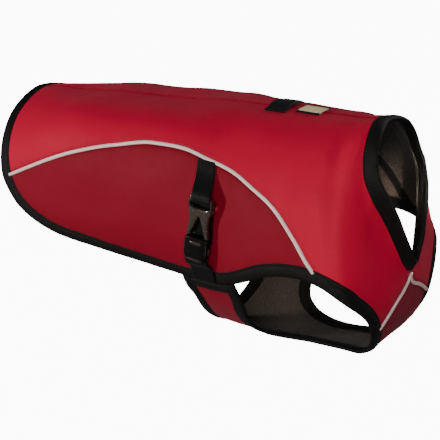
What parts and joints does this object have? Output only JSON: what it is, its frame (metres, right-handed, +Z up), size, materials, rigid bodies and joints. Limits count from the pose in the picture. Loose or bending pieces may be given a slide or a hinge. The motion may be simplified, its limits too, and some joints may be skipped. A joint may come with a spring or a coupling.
{
  "type": "dog jacket",
  "caption": "Softshell dog jacket, filled out as worn: back and side panels, reflective piping, black bindings, belly panel, and a strap with a side release buckle on each side.",
  "frame": {"origin": "on the inner face of the spine at the withers, where the wearer holds the jacket up", "axes": "+X towards the head, along the spine; +Z up; the right side of the jacket at -Y"},
  "size_m": [0.4501, 0.229, 0.2389],
  "materials": {
    "bright_cloth": "bright red softshell with a smooth, tight weave and a dark fleece back",
    "deep_cloth": "deep red softshell with a dark fleece back",
    "piping": "pale reflective tape over a thin cord",
    "binding": "matt black woven tape, folded over the edge",
    "webbing": "black ribbed webbing",
    "plastic": "glossy black moulded acetal",
    "label": "woven label in pale yellow with a black edge"
  },
  "bodies": {
    "root": {"back_panel_right": "bright_cloth", "back_panel_left": "bright_cloth", "side_panel_right": "deep_cloth", "side_panel_left": "deep_cloth", "belly_panel": "deep_cloth", "side_piping_right": "piping", "side_piping_left": "piping", "chest_piping_right": "piping", "chest_piping_left": "piping", "neck_binding": "binding", "hem_binding": "binding", "belly_rear_binding": "binding", "armhole_binding_right": "binding", "armhole_binding_left": "binding", "wing_top_binding_right": "binding", "wing_top_binding_left": "binding", "upper_webbing_right": "webbing", "upper_webbing_left": "webbing", "lower_webbing_right": "webbing", "lower_webbing_left": "webbing", "light_loop": "webbing", "buckle_male_right": "plastic", "buckle_male_left": "plastic", "buckle_female_right": "plastic", "buckle_female_left": "plastic", "label": "label"}
  },
  "joints": []
}
